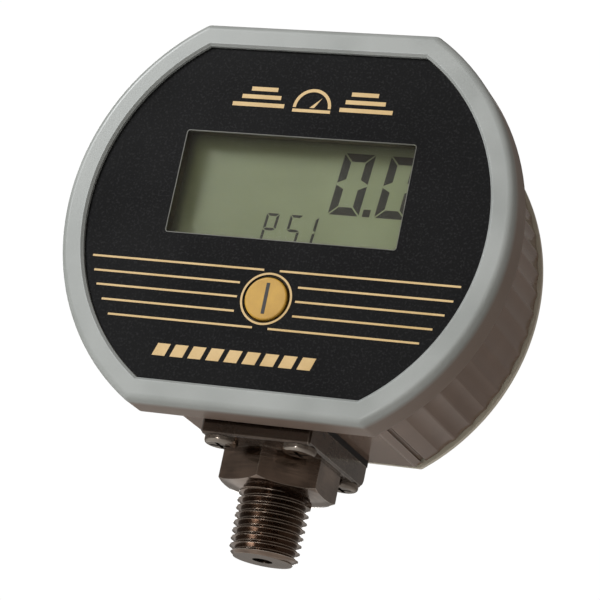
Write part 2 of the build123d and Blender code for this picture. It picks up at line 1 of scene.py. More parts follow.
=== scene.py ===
import math
import bmesh
import bpy
from mathutils import Matrix, Vector


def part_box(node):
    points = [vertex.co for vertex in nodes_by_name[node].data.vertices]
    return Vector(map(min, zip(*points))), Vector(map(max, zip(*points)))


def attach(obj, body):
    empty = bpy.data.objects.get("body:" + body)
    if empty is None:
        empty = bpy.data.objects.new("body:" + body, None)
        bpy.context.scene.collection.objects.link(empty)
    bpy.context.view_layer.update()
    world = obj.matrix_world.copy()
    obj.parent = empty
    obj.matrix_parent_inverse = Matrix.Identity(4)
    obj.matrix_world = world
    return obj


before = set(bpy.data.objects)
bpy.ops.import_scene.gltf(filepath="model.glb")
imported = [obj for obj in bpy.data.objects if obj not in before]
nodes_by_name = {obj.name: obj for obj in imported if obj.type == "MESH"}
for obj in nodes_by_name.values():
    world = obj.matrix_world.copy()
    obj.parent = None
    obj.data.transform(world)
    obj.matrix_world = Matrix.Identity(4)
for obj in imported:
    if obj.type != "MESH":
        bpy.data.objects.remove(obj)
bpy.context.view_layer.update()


# Bezel: the snap-on front ring, moulded in light grey ABS with a rounded outer edge. A chamfered
# lip runs round the label. Light handling has polished its edges a little; their paler bluish tone
# is also a painted highlight, and its side wall is painted a darker brown as shade.
mm = 0.001
bezel_tone = (0.385, 0.405, 0.395, 1)
bezel_shade = (0.325, 0.345, 0.335, 1)
# Paler bluish edges: partly wear, partly a painted highlight along the bezel's edges.
bezel_edge_highlight_and_wear = (0.62, 0.66, 0.67, 1)
bezel_edge_reach = 0.5 * mm
bezel_grain, bezel_patches = 5200.0, 60.0
bezel_gloss, bezel_relief = (0.30, 0.42), 0.006 * mm
# Painted shade: the bezel's side wall is coloured a darker warm brown, blending in from 1.0 to 2.8 mm behind
# its front.
bezel_side_painted_shade = (0.22, 0.165, 0.135, 1)
bezel_shade_turn = (1.0 * mm, 2.8 * mm)
bezel_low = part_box("bezel")[0]
wear_amount, wear_samples, wear_break_scale = 0.8, 6, 900.0


def shader_group(name, inputs, outputs):
    """An empty shader node group with named sockets, its two end nodes, and short calls to fill it."""
    tree = bpy.data.node_groups.new(name, "ShaderNodeTree")
    for label, kind, value in inputs:
        socket = tree.interface.new_socket(label, in_out="INPUT", socket_type=kind)
        socket.default_value = value
    for label, kind in outputs:
        tree.interface.new_socket(label, in_out="OUTPUT", socket_type=kind)
    start = tree.nodes.new("NodeGroupInput")
    end = tree.nodes.new("NodeGroupOutput")
    return tree, start.outputs, end.inputs


def add_noise(tree, vector, scale, detail):
    noise = tree.nodes.new("ShaderNodeTexNoise")
    tree.links.new(vector, noise.inputs["Vector"])
    if isinstance(scale, (int, float)):
        noise.inputs["Scale"].default_value = scale
    else:
        tree.links.new(scale, noise.inputs["Scale"])
    noise.inputs["Detail"].default_value = detail
    return noise.outputs["Fac"]


def add_range(tree, value, low, high, to_low, to_high):
    """Map a value from low..high to to_low..to_high, each end a number or a socket."""
    ramp = tree.nodes.new("ShaderNodeMapRange")
    tree.links.new(value, ramp.inputs["Value"])
    for label, end in (("From Min", low), ("From Max", high), ("To Min", to_low), ("To Max", to_high)):
        if isinstance(end, (int, float)):
            ramp.inputs[label].default_value = end
        else:
            tree.links.new(end, ramp.inputs[label])
    return ramp.outputs["Result"]


def add_math(tree, operation, first, second):
    step = tree.nodes.new("ShaderNodeMath")
    step.operation = operation
    for socket, value in zip(step.inputs, (first, second)):
        if isinstance(value, (int, float)):
            socket.default_value = value
        else:
            tree.links.new(value, socket)
    return step.outputs["Value"]


def add_mix(tree, factor, first, second):
    """Blend two colours, each a socket or a plain colour."""
    mix = tree.nodes.new("ShaderNodeMix")
    mix.data_type = "RGBA"
    tree.links.new(factor, mix.inputs["Factor"])
    for socket, colour in ((mix.inputs[6], first), (mix.inputs[7], second)):
        if isinstance(colour, tuple):
            socket.default_value = colour
        else:
            tree.links.new(colour, socket)
    return mix.outputs[2]


def own_coordinates(tree):
    return tree.nodes.new("ShaderNodeTexCoord").outputs["Object"]


def along_axis(tree, axis):
    """One of the piece's own coordinates."""
    split = tree.nodes.new("ShaderNodeSeparateXYZ")
    tree.links.new(own_coordinates(tree), split.inputs["Vector"])
    return split.outputs[axis]


def make_plastic_skin():
    """Moulded plastic: cloudy patches between two tones, uneven gloss and a fine spark-eroded grain."""
    tree, start, end = shader_group("plastic_skin", [
        ("Tone", "NodeSocketColor", (0.5, 0.5, 0.5, 1)),
        ("Shade", "NodeSocketColor", (0.4, 0.4, 0.4, 1)),
        ("Patch Scale", "NodeSocketFloat", 60.0),
        ("Grain Scale", "NodeSocketFloat", 5000.0),
        ("Gloss Low", "NodeSocketFloat", 0.35),
        ("Gloss High", "NodeSocketFloat", 0.5),
    ], [("Colour", "NodeSocketColor"), ("Roughness", "NodeSocketFloat"), ("Height", "NodeSocketFloat")])
    place = own_coordinates(tree)
    patches = add_range(tree, add_noise(tree, place, start["Patch Scale"], 3.0), 0.35, 0.65, 0.0, 1.0)
    grain = add_noise(tree, place, start["Grain Scale"], 2.0)
    speck = add_range(tree, grain, 0.3, 0.7, -0.12, 0.12)
    blend = add_math(tree, "ADD", patches, speck)
    tree.links.new(add_mix(tree, blend, start["Shade"], start["Tone"]), end["Colour"])
    gloss = add_range(tree, patches, 0.0, 1.0, start["Gloss Low"], start["Gloss High"])
    tree.links.new(gloss, end["Roughness"])
    tree.links.new(grain, end["Height"])
    return tree


def make_edge_wear_and_highlight():
    """A mask along convex edges, broken up so that it comes and goes."""
    tree, start, end = shader_group("edge_wear_and_highlight", [
        ("Reach", "NodeSocketFloat", 0.0005),
        ("Amount", "NodeSocketFloat", 1.0),
    ], [("Mask", "NodeSocketFloat")])
    bevel = tree.nodes.new("ShaderNodeBevel")
    bevel.samples = wear_samples
    tree.links.new(start["Reach"], bevel.inputs["Radius"])
    surface = tree.nodes.new("ShaderNodeNewGeometry").outputs["Normal"]
    dot = tree.nodes.new("ShaderNodeVectorMath")
    dot.operation = "DOT_PRODUCT"
    tree.links.new(bevel.outputs["Normal"], dot.inputs[0])
    tree.links.new(surface, dot.inputs[1])
    edge = add_range(tree, dot.outputs["Value"], 0.995, 0.85, 0.0, 1.0)
    scatter = add_noise(tree, own_coordinates(tree), wear_break_scale, 3.0)
    broken = add_range(tree, scatter, 0.3, 0.6, 0.25, 1.0)
    mask = add_math(tree, "MULTIPLY", add_math(tree, "MULTIPLY", edge, broken), start["Amount"])
    tree.links.new(mask, end["Mask"])
    return tree


def use_group(material, group, **values):
    """Place a group in a material and set its inputs, by names with spaces as underscores."""
    node = material.node_tree.nodes.new("ShaderNodeGroup")
    node.node_tree = group
    for label, value in values.items():
        node.inputs[label.replace("_", " ")].default_value = value
    return node


def new_material(name):
    material = bpy.data.materials.new(name)
    material.use_nodes = True
    return material, material.node_tree, principled(material)


def principled(material):
    return material.node_tree.nodes["Principled BSDF"]


def add_bump(material, height, distance):
    bump = material.node_tree.nodes.new("ShaderNodeBump")
    bump.inputs["Distance"].default_value = distance
    bump.inputs["Strength"].default_value = 1.0
    material.node_tree.links.new(height, bump.inputs["Height"])
    material.node_tree.links.new(bump.outputs["Normal"], principled(material).inputs["Normal"])


plastic_skin = make_plastic_skin()
edge_wear_and_highlight = make_edge_wear_and_highlight()


def moulded_plastic(name, tone, shade, grain, patches, gloss, relief,
                    edge_tone=None, edge_reach=0.0):
    """A moulded plastic finish, with paler edges where an edge tone is given: wear, and on the bezel also a
    painted highlight.
    """
    material, tree, shader = new_material(name)
    skin = use_group(material, plastic_skin, Tone=tone, Shade=shade, Patch_Scale=patches,
                     Grain_Scale=grain, Gloss_Low=gloss[0], Gloss_High=gloss[1])
    colour = skin.outputs["Colour"]
    # The edge tone marks wear, and on the bezel it is also a painted highlight.
    if edge_tone is not None:
        worn = use_group(material, edge_wear_and_highlight, Reach=edge_reach, Amount=wear_amount).outputs["Mask"]
        colour = add_mix(tree, worn, colour, edge_tone)
    tree.links.new(colour, shader.inputs["Base Color"])
    tree.links.new(skin.outputs["Roughness"], shader.inputs["Roughness"])
    add_bump(material, skin.outputs["Height"], relief)
    return material


def finish_node(node, material):
    """Give a CAD node its finish."""
    piece = nodes_by_name[node]
    piece.data.materials.clear()
    piece.data.materials.append(material)
    return piece


def bezel_finish():
    """The bezel's plastic, with painted shade making its side wall a darker warm brown than its front."""
    material = moulded_plastic("bezel_plastic", bezel_tone, bezel_shade, bezel_grain, bezel_patches,
                               bezel_gloss, bezel_relief, bezel_edge_highlight_and_wear, bezel_edge_reach)
    tree = material.node_tree
    shader = principled(material)
    front_colour = shader.inputs["Base Color"].links[0].from_socket
    depth = along_axis(tree, "Y")
    start, end = (bezel_low.y + reach for reach in bezel_shade_turn)
    # Painted shade: blend the side wall towards the dark brown.
    side = add_range(tree, depth, start, end, 0.0, 1.0)
    tree.links.new(add_mix(tree, side, front_colour, bezel_side_painted_shade), shader.inputs["Base Color"])
    return material


finish_node("bezel", bezel_finish())


# Face label: a printed polycarbonate film glued to the face plate, matt black with a fine velvet
# texture. Its rulings, marks and the ring round the button are screen-printed in gold.
label_black = (0.0035, 0.0035, 0.004, 1)
label_speck = (0.016, 0.016, 0.017, 1)
label_low, label_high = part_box("face_label")
face_z = (label_low.z + label_high.z) / 2
label_front = label_low.y
ink_thickness = 0.03 * mm
gold_ink = (0.74, 0.52, 0.24, 1)
gold_ink_shade = (0.64, 0.43, 0.17, 1)
ruling_heights = [-9.96, -12.70, -15.35, -18.07, -20.80]
ruling_reaches = [35.5, 34.6, 33.5, 31.8, 29.9]
ruling_starts = [1.5, 5.6, 5.6, 5.6, 1.5]
ruling_width = 0.38
cap_low, cap_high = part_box("button_cap")
button_z = ((cap_low.z + cap_high.z) / 2 - face_z) / mm
ring_inner, ring_outer = 4.52, 4.90
steps_per_turn = 96
film_grain_scale, film_cloud_scale, film_specular, film_relief = 2400.0, 45.0, 0.09, 0.02 * mm
gold_grain, gold_patches, gold_gloss, gold_relief = 4200.0, 150.0, (0.35, 0.5), 0.004 * mm
upper_mark_z, upper_mark_x = 23.0, 1.0
dial_drop, dial_inner, dial_outer, dial_line = 1.6, 3.1, 3.7, 0.6
needle_half_width, needle_reach, needle_rise = 0.45, 1.7, 2.0
rungs, rung_start, rung_end, rung_low, rung_pitch, rung_height = 3, 5.4, 15.6, -2.0, 1.55, 0.8
rung_start_step, rung_end_step = 0.9, 1.6
lower_mark_z, lower_mark_x = -26.5, -3.8


def on_face(x, z, depth):
    """A point on the face, in millimetres from its centre, that far behind the label's front."""
    return Vector((x * mm, label_front + depth, face_z + z * mm))


def add_prism(mesh, outline, depth, thickness):
    """A closed flat prism over an outline on the face."""
    front = [mesh.verts.new(on_face(x, z, depth)) for x, z in outline]
    back = [mesh.verts.new(on_face(x, z, depth + thickness)) for x, z in outline]
    count = len(outline)
    mesh.faces.new(front)
    mesh.faces.new(back[::-1])
    for i in range(count):
        mesh.faces.new([front[i], back[i], back[(i + 1) % count], front[(i + 1) % count]])


def add_ring(mesh, x, z, inner, outer, depth, thickness, start=0.0, end=360.0):
    """A closed flat ring, or a stretch of one, on the face."""
    whole = end - start >= 360
    count = max(2, round(steps_per_turn * (end - start) / 360))
    rows = []
    for i in range(count if whole else count + 1):
        angle = math.radians(start + (end - start) * i / count)
        spots = [(radius * math.cos(angle) + x, radius * math.sin(angle) + z) for radius in (inner, outer)]
        corners = [(0, depth), (1, depth), (1, depth + thickness), (0, depth + thickness)]
        rows.append([mesh.verts.new(on_face(*spots[side], level)) for side, level in corners])
    for i in range(count):
        now, after = rows[i], rows[(i + 1) % len(rows)]
        for k in range(4):
            mesh.faces.new([now[k], after[k], after[(k + 1) % 4], now[(k + 1) % 4]])
    if not whole:
        mesh.faces.new(rows[0])
        mesh.faces.new(rows[-1][::-1])


def new_piece(name, mesh, material, body):
    """Turn a finished bmesh into a piece that rides on a body."""
    bmesh.ops.recalc_face_normals(mesh, faces=mesh.faces)
    data = bpy.data.meshes.new(name)
    mesh.to_mesh(data)
    mesh.free()
    piece = bpy.data.objects.new(name, data)
    bpy.context.scene.collection.objects.link(piece)
    data.materials.append(material)
    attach(piece, body)
    return piece


def bar(x0, x1, z0, z1, lean=0.0):
    """Outline of a bar, its top shifted right by the lean."""
    return [(x0, z0), (x1, z0), (x1 + lean, z1), (x0 + lean, z1)]


def label_film():
    material, tree, shader = new_material("label_film")
    place = own_coordinates(tree)
    velvet = add_noise(tree, place, film_grain_scale, 2.0)
    specks = add_range(tree, velvet, 0.52, 0.72, 0.0, 1.0)
    tree.links.new(add_mix(tree, specks, label_black, label_speck), shader.inputs["Base Color"])
    cloud = add_noise(tree, place, film_cloud_scale, 2.0)
    tree.links.new(add_range(tree, cloud, 0.3, 0.7, 0.50, 0.62), shader.inputs["Roughness"])
    shader.inputs["Specular IOR Level"].default_value = film_specular
    add_bump(material, velvet, film_relief)
    return material


finish_node("face_label", label_film())
gold_print = moulded_plastic("gold_print", gold_ink, gold_ink_shade, gold_grain, gold_patches,
                             gold_gloss, gold_relief)

rulings = bmesh.new()
for height, reach, begin in zip(ruling_heights, ruling_reaches, ruling_starts):
    low, high = height - ruling_width / 2, height + ruling_width / 2
    add_prism(rulings, bar(-reach, -begin, low, high), -ink_thickness, ink_thickness)
    add_prism(rulings, bar(begin, reach, low, high), -ink_thickness, ink_thickness)
add_ring(rulings, 0, button_z, ring_inner, ring_outer, -ink_thickness, ink_thickness)
new_piece("label_rulings", rulings, gold_print, "gauge")

upper_mark = bmesh.new()
dial_z = upper_mark_z - dial_drop
add_ring(upper_mark, upper_mark_x, dial_z, dial_inner, dial_outer, -ink_thickness, ink_thickness, 0, 180)
add_prism(upper_mark, bar(upper_mark_x - dial_outer, upper_mark_x + dial_outer, dial_z - 1.5 * dial_line,
                          dial_z - dial_line / 2), -ink_thickness, ink_thickness)
needle_tip = (upper_mark_x + needle_reach, dial_z + needle_rise)
add_prism(upper_mark, [(upper_mark_x - needle_half_width, dial_z), (upper_mark_x + needle_half_width, dial_z),
                       needle_tip], -ink_thickness, ink_thickness)
for side in (-1, 1):
    for rung in range(rungs):
        inner_x, outer_x = rung_start + rung_start_step * rung, rung_end - rung_end_step * rung
        low = upper_mark_z + rung_low + rung_pitch * rung
        ends = sorted((upper_mark_x + side * inner_x, upper_mark_x + side * outer_x))
        add_prism(upper_mark, bar(*ends, low, low + rung_height), -ink_thickness, ink_thickness)
new_piece("label_upper_mark", upper_mark, gold_print, "gauge")

lower_mark = bmesh.new()
dash_count, dash_pitch, dash_width, dash_height, dash_lean = 9, 3.5, 2.5, 2.3, 0.8
for i in range(dash_count):
    left = lower_mark_x + (i - dash_count / 2) * dash_pitch
    low = lower_mark_z - dash_height / 2
    add_prism(lower_mark, bar(left, left + dash_width, low, low + dash_height, dash_lean),
              -ink_thickness, ink_thickness)
new_piece("label_lower_mark", lower_mark, gold_print, "gauge")


# Display window: a clear acrylic lens let into the face plate behind the label's cut-out, with
# polished faces. The cut edge of the label's clear film shows round it as a thin milky line.
cut_half_width, cut_half_height, cut_corner = 22.38, 10.03, 0.58
window_centre_z = 5.7
film_edge_width, film_edge_depth = 0.13, 0.35
corner_steps = 8
lens_index, lens_tint, lens_shadow_tint = 1.49, (0.97, 0.99, 0.97, 1), (0.93, 0.96, 0.93, 1)
smear_scale = 220.0
milky_tone, milky_shade = (0.16, 0.16, 0.14, 1), (0.12, 0.12, 0.10, 1)


def clear_lens():
    material, tree, shader = new_material("clear_acrylic")
    shader.inputs["Base Color"].default_value = lens_tint
    shader.inputs["Transmission Weight"].default_value = 1.0
    shader.inputs["IOR"].default_value = lens_index
    place = own_coordinates(tree)
    smears = add_noise(tree, place, smear_scale, 3.0)
    tree.links.new(add_range(tree, smears, 0.4, 0.75, 0.015, 0.07), shader.inputs["Roughness"])
    output = tree.nodes["Material Output"]
    through = tree.nodes.new("ShaderNodeBsdfTransparent")
    through.inputs["Color"].default_value = lens_shadow_tint
    choose = tree.nodes.new("ShaderNodeMixShader")
    path = tree.nodes.new("ShaderNodeLightPath")
    tree.links.new(path.outputs["Is Shadow Ray"], choose.inputs["Fac"])
    tree.links.new(shader.outputs["BSDF"], choose.inputs[1])
    tree.links.new(through.outputs["BSDF"], choose.inputs[2])
    tree.links.new(choose.outputs["Shader"], output.inputs["Surface"])
    return material


finish_node("display_window", clear_lens())


def rounded_outline(half_width, half_height, corner):
    """Outline of a rectangle with rounded corners."""
    points = []
    for quarter, (sx, sz) in enumerate([(1, 1), (-1, 1), (-1, -1), (1, -1)]):
        for step in range(corner_steps + 1):
            angle = math.radians(90 * quarter + 90 * step / corner_steps)
            points.append((sx * (half_width - corner) + corner * math.cos(angle),
                           sz * (half_height - corner) + corner * math.sin(angle)))
    return points


film_edge = bmesh.new()
loops = []
for inset, depth in ((0, 0), (film_edge_width, 0), (film_edge_width, film_edge_depth), (0, film_edge_depth)):
    outline = rounded_outline(cut_half_width - inset, cut_half_height - inset, cut_corner - inset)
    loops.append([film_edge.verts.new(on_face(x, window_centre_z + z, depth * mm)) for x, z in outline])
for now, after in zip(loops, loops[1:] + loops[:1]):
    for i in range(len(now)):
        k = (i + 1) % len(now)
        film_edge.faces.new([now[i], now[k], after[k], after[i]])
milky_film = moulded_plastic("milky_film", milky_tone, milky_shade, 4000.0, 200.0, (0.3, 0.45), 0.003 * mm)
new_piece("label_cut_edge", film_edge, milky_film, "gauge")


# Face plate, display frame, battery holder and rubber seals: dark mouldings and cut sheet that
# carry the display and keep the wet out. Only the light well's brown walls show, through the lens.
carrier_tone, carrier_shade = (0.045, 0.040, 0.034, 1), (0.03, 0.026, 0.022, 1)
rubber_tone, rubber_shade = (0.028, 0.028, 0.03, 1), (0.017, 0.017, 0.018, 1)
well_tone, well_shade = (0.115, 0.098, 0.062, 1), (0.088, 0.074, 0.046, 1)
carrier_plastic = moulded_plastic("carrier_plastic", carrier_tone, carrier_shade, 4800.0, 90.0,
                                  (0.45, 0.6), 0.01 * mm)
seal_rubber = moulded_plastic("seal_rubber", rubber_tone, rubber_shade, 7000.0, 160.0,
                              (0.7, 0.85), 0.012 * mm)
well_plastic = moulded_plastic("well_plastic", well_tone, well_shade, 4800.0, 90.0, (0.5, 0.65), 0.01 * mm)
for node in ("face_plate", "display_frame"):
    finish_node(node, well_plastic)
finish_node("battery_holder", carrier_plastic)
for node in ("face_gasket", "contact_strips", "rear_gasket", "sensor_gasket", "fitting_o_ring"):
    finish_node(node, seal_rubber)


# Display cell: a reflective liquid-crystal sandwich, grey-green under its polariser. A painted
# shadow darkens it along its top and left edges, under the window's rim, and painted shade makes
# it darker towards the left. The reflector behind it is plated sheet.
cell_green = (0.118, 0.128, 0.062, 1)
cell_green_dull = (0.088, 0.093, 0.042, 1)
cell_shadow = (0.020, 0.018, 0.009, 1)
shadow_top = (1.5 * mm, 6.0 * mm)
shadow_side = (0.6 * mm, 4.5 * mm)
side_shadow = 0.7
fibre_scale, cell_cloud_scale, cell_specular = 2600.0, 70.0, 0.3
cell_low, cell_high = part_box("display_glass")


def polariser_film():
    material, tree, shader = new_material("polariser_film")
    place = own_coordinates(tree)
    fibre = add_noise(tree, place, fibre_scale, 2.0)
    cloud = add_noise(tree, place, cell_cloud_scale, 2.0)
    split = tree.nodes.new("ShaderNodeSeparateXYZ")
    tree.links.new(place, split.inputs["Vector"])
    # Painted shade: the cell runs from its dull green at the left to its brighter green at the right.
    painted_shade_across = add_range(tree, split.outputs["X"], cell_low.x, cell_high.x, 0.15, 0.85)
    mottle = add_range(tree, cloud, 0.3, 0.7, -0.15, 0.15)
    speck = add_range(tree, fibre, 0.3, 0.7, -0.08, 0.08)
    tone = add_math(tree, "ADD", add_math(tree, "ADD", painted_shade_across, mottle), speck)
    lit = add_mix(tree, tone, cell_green_dull, cell_green)
    # Painted shadow: the cell is darkened along its top edge and its left edge, as if shaded by the window's
    # rim.
    from_top = add_math(tree, "SUBTRACT", cell_high.z, split.outputs["Z"])
    from_side = add_math(tree, "SUBTRACT", split.outputs["X"], cell_low.x)
    under_top = add_range(tree, from_top, *shadow_top, 1.0, 0.0)
    by_side = add_range(tree, from_side, *shadow_side, side_shadow, 0.0)
    shaded = add_math(tree, "MAXIMUM", under_top, by_side)
    tree.links.new(add_mix(tree, shaded, lit, cell_shadow), shader.inputs["Base Color"])
    tree.links.new(add_range(tree, cloud, 0.3, 0.7, 0.30, 0.42), shader.inputs["Roughness"])
    shader.inputs["Specular IOR Level"].default_value = cell_specular
    add_bump(material, fibre, 0.004 * mm)
    return material


finish_node("display_glass", polariser_film())

# Display figures: the dark segments of the liquid crystal. The reading is nought point nought,
# with the pressure unit in smaller figures below it.
figure_black = (0.009, 0.007, 0.005, 1)
figure_black_pale = (0.016, 0.013, 0.009, 1)
figure_specular = 0.12
cell_depth = cell_low.y - label_front
segment_thickness = 0.02 * mm
figure_height, figure_width, figure_stroke, figure_gap = 11.9, 5.9, 1.55, 0.2
figure_base, figure_lean = 2.85, 0.09
figure_lefts = [6.55, 15.45]
point_left, point_size, point_lean = 13.1, 1.4, 0.1
unit_height, unit_width, unit_stroke, unit_gap = 6.1, 2.5, 0.5, 0.12
unit_base = -3.9
unit_figures = [(-5.6, "abefg"), (-0.95, "acdfg"), (2.1, "bc")]


def segment_outlines(width, height, stroke, gap):
    """The mitred outlines of a figure's segments, a to g, from its lower left corner."""
    half, waist = height / 2, stroke / 2
    outlines = {
        "a": [(gap, height), (width - gap, height), (width - stroke - gap, height - stroke),
              (stroke + gap, height - stroke)],
        "f": [(0, height - gap), (stroke, height - stroke - gap), (stroke, half + waist + gap),
              (0, half + gap)],
        "g": [(gap, half), (stroke + gap, half + waist), (width - stroke - gap, half + waist),
              (width - gap, half), (width - stroke - gap, half - waist), (stroke + gap, half - waist)],
    }
    outlines["b"] = [(width - x, z) for x, z in outlines["f"]]
    outlines["c"] = [(width - x, height - z) for x, z in outlines["f"]]
    outlines["d"] = [(x, height - z) for x, z in outlines["a"]]
    outlines["e"] = [(x, height - z) for x, z in outlines["f"]]
    return outlines


def add_figure(mesh, left, base, size, lit, lean):
    """The lit segments of one figure, leaning right with height."""
    for name, outline in segment_outlines(*size).items():
        if name in lit:
            leaning = [(left + x + z * lean, base + z) for x, z in outline]
            add_prism(mesh, leaning, cell_depth - segment_thickness, segment_thickness)


figures = bmesh.new()
for left in figure_lefts:
    add_figure(figures, left, figure_base, (figure_width, figure_height, figure_stroke, figure_gap), "abcdef",
               figure_lean)
point = bar(point_left, point_left + point_size, figure_base, figure_base + point_size, point_lean)
add_prism(figures, point, cell_depth - segment_thickness, segment_thickness)
for left, lit in unit_figures:
    add_figure(figures, left, unit_base, (unit_width, unit_height, unit_stroke, unit_gap), lit, figure_lean)
liquid_crystal = moulded_plastic("liquid_crystal", figure_black, figure_black_pale, 3000.0, 260.0,
                                 (0.30, 0.42), 0.002 * mm)
principled(liquid_crystal).inputs["Specular IOR Level"].default_value = figure_specular
new_piece("display_figures", figures, liquid_crystal, "gauge")


# Circuit board, sensor board and their parts: green solder mask over woven glass, black moulded
# packages. They are screwed to the posts of the face plate, out of sight.
weave_scale, weave_dark, weave_light = 1400.0, (0.012, 0.105, 0.035, 1), (0.016, 0.125, 0.045, 1)
board_bloom = (0.03, 0.19, 0.08, 1)
chip_tone, chip_shade = (0.03, 0.03, 0.032, 1), (0.018, 0.018, 0.02, 1)
lead_tone, lead_shade = (0.42, 0.03, 0.02, 1), (0.30, 0.02, 0.015, 1)


def solder_mask():
    material, tree, shader = new_material("solder_mask")
    place = own_coordinates(tree)
    weave = tree.nodes.new("ShaderNodeTexChecker")
    tree.links.new(place, weave.inputs["Vector"])
    weave.inputs["Scale"].default_value = weave_scale
    weave.inputs["Color1"].default_value = weave_dark
    weave.inputs["Color2"].default_value = weave_light
    cloud = add_range(tree, add_noise(tree, place, 260.0, 3.0), 0.45, 0.55, 0.0, 0.35)
    tree.links.new(add_mix(tree, cloud, weave.outputs["Color"], board_bloom), shader.inputs["Base Color"])
    tree.links.new(add_range(tree, cloud, 0.0, 0.35, 0.25, 0.4), shader.inputs["Roughness"])
    return material


board_green = solder_mask()
chip_black = moulded_plastic("chip_moulding", chip_tone, chip_shade, 6000.0, 400.0, (0.45, 0.6), 0.006 * mm)
for node in ("circuit_board", "sensor_board"):
    finish_node(node, board_green)
for node in ("board_chips", "switch_body", "switch_plunger"):
    finish_node(node, chip_black)
lead_red = moulded_plastic("lead_insulation", lead_tone, lead_shade, 4000.0, 300.0, (0.4, 0.5), 0.004 * mm)
finish_node("sensor_leads", lead_red)


# Button: a hard gold-coloured cap that slides in the face plate and presses the switch behind it.
# A single upright stroke is printed on it in black.
cap_tone, cap_shade = (0.62, 0.36, 0.05, 1), (0.52, 0.29, 0.04, 1)
print_black, print_black_pale = (0.006, 0.005, 0.004, 1), (0.010, 0.009, 0.008, 1)
stroke_half_width, stroke_half_height = 0.33, 2.9
button_gold = moulded_plastic("button_gold", cap_tone, cap_shade, 3800.0, 200.0, (0.34, 0.46), 0.006 * mm)
finish_node("button_cap", button_gold)
black_print = moulded_plastic("black_print", print_black, print_black_pale, 4000.0, 300.0,
                              (0.4, 0.5), 0.003 * mm)
button_mark = bmesh.new()
mark_depth = cap_low.y - label_front - ink_thickness
add_prism(button_mark, bar(-stroke_half_width, stroke_half_width, button_z - stroke_half_height,
                           button_z + stroke_half_height), mark_depth, ink_thickness)
new_piece("button_mark", button_mark, black_print, "button")


# Body shell: the deep rear housing, moulded in glossy brown ABS, with fluted sides for grip. The
# cream rear cover is screwed over its open back and stands a little past the sides as a lip; its
# pale tone is partly its own cream and partly a painted highlight for that lip.
body_tone, body_shade, body_edge = (0.225, 0.150, 0.113, 1), (0.172, 0.112, 0.083, 1), (0.36, 0.30, 0.25, 1)
# The cover's tones are made paler than its own cream, as a painted highlight along its rear lip.
cover_cream_and_highlight, cover_mottle_and_highlight, cover_edge = (0.80, 0.75, 0.62, 1), (0.68, 0.63, 0.51, 1), (0.60, 0.57, 0.50, 1)
body_specular = 0.9
body_plastic = moulded_plastic("body_plastic", body_tone, body_shade, 4600.0, 42.0, (0.10, 0.18), 0.003 * mm,
                               body_edge, 0.3 * mm)
principled(body_plastic).inputs["Specular IOR Level"].default_value = body_specular
finish_node("body_shell", body_plastic)
cover_plastic = moulded_plastic("cover_plastic", cover_cream_and_highlight, cover_mottle_and_highlight, 4600.0, 50.0, (0.24, 0.36),
                                0.005 * mm, cover_edge, 0.4 * mm)
finish_node("rear_cover", cover_plastic)


# Rating plate: a blank foil stuck in the shallow panel of the rear cover, with a printed border and
# plain ruled fields.
cover_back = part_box("rear_cover")[1].y
plate_half_width, plate_half_height, plate_corner = 22.6, 14.6, 1.6
panel_depth = 0.4 * mm
foil_thickness = 0.12 * mm
foil_front = cover_back - label_front - panel_depth
foil_tone, foil_shade = (0.55, 0.55, 0.54, 1), (0.46, 0.46, 0.45, 1)
field_half_width, field_half_height, field_line, border_width = 21.1, 13.1, 0.3, 0.5
field_split = 4.2

foil = bmesh.new()
foil_outline = rounded_outline(plate_half_width, plate_half_height, plate_corner)
add_prism(foil, foil_outline, foil_front, foil_thickness)
foil_finish = moulded_plastic("rating_foil", foil_tone, foil_shade, 2600.0, 90.0, (0.22, 0.34), 0.004 * mm)
new_piece("rating_plate", foil, foil_finish, "gauge")
fields = bmesh.new()
field_depth = foil_front + foil_thickness
lower_border = (-field_half_height, border_width - field_half_height)
upper_border = (field_half_height - border_width, field_half_height)
upper_split = (field_split, field_split + field_line)
lower_split = (-field_split - field_line, -field_split)
for z0, z1 in (upper_border, lower_border, upper_split, lower_split):
    add_prism(fields, bar(-field_half_width, field_half_width, z0, z1), field_depth, ink_thickness)
for x in (-field_half_width, field_half_width - border_width):
    add_prism(fields, bar(x, x + border_width, lower_border[1], upper_border[0]), field_depth, ink_thickness)
new_piece("rating_plate_fields", fields, black_print, "gauge")


# Screws, springs and battery contacts: plated steel. The pan heads of the cover and flange screws
# show their cross recesses.
metal_wear_reach, metal_wear = 0.3 * mm, 0.9
screw_bright, screw_dull = (0.36, 0.32, 0.28, 1), (0.19, 0.16, 0.14, 1)
spring_bright, spring_dull = (0.62, 0.62, 0.60, 1), (0.45, 0.45, 0.43, 1)


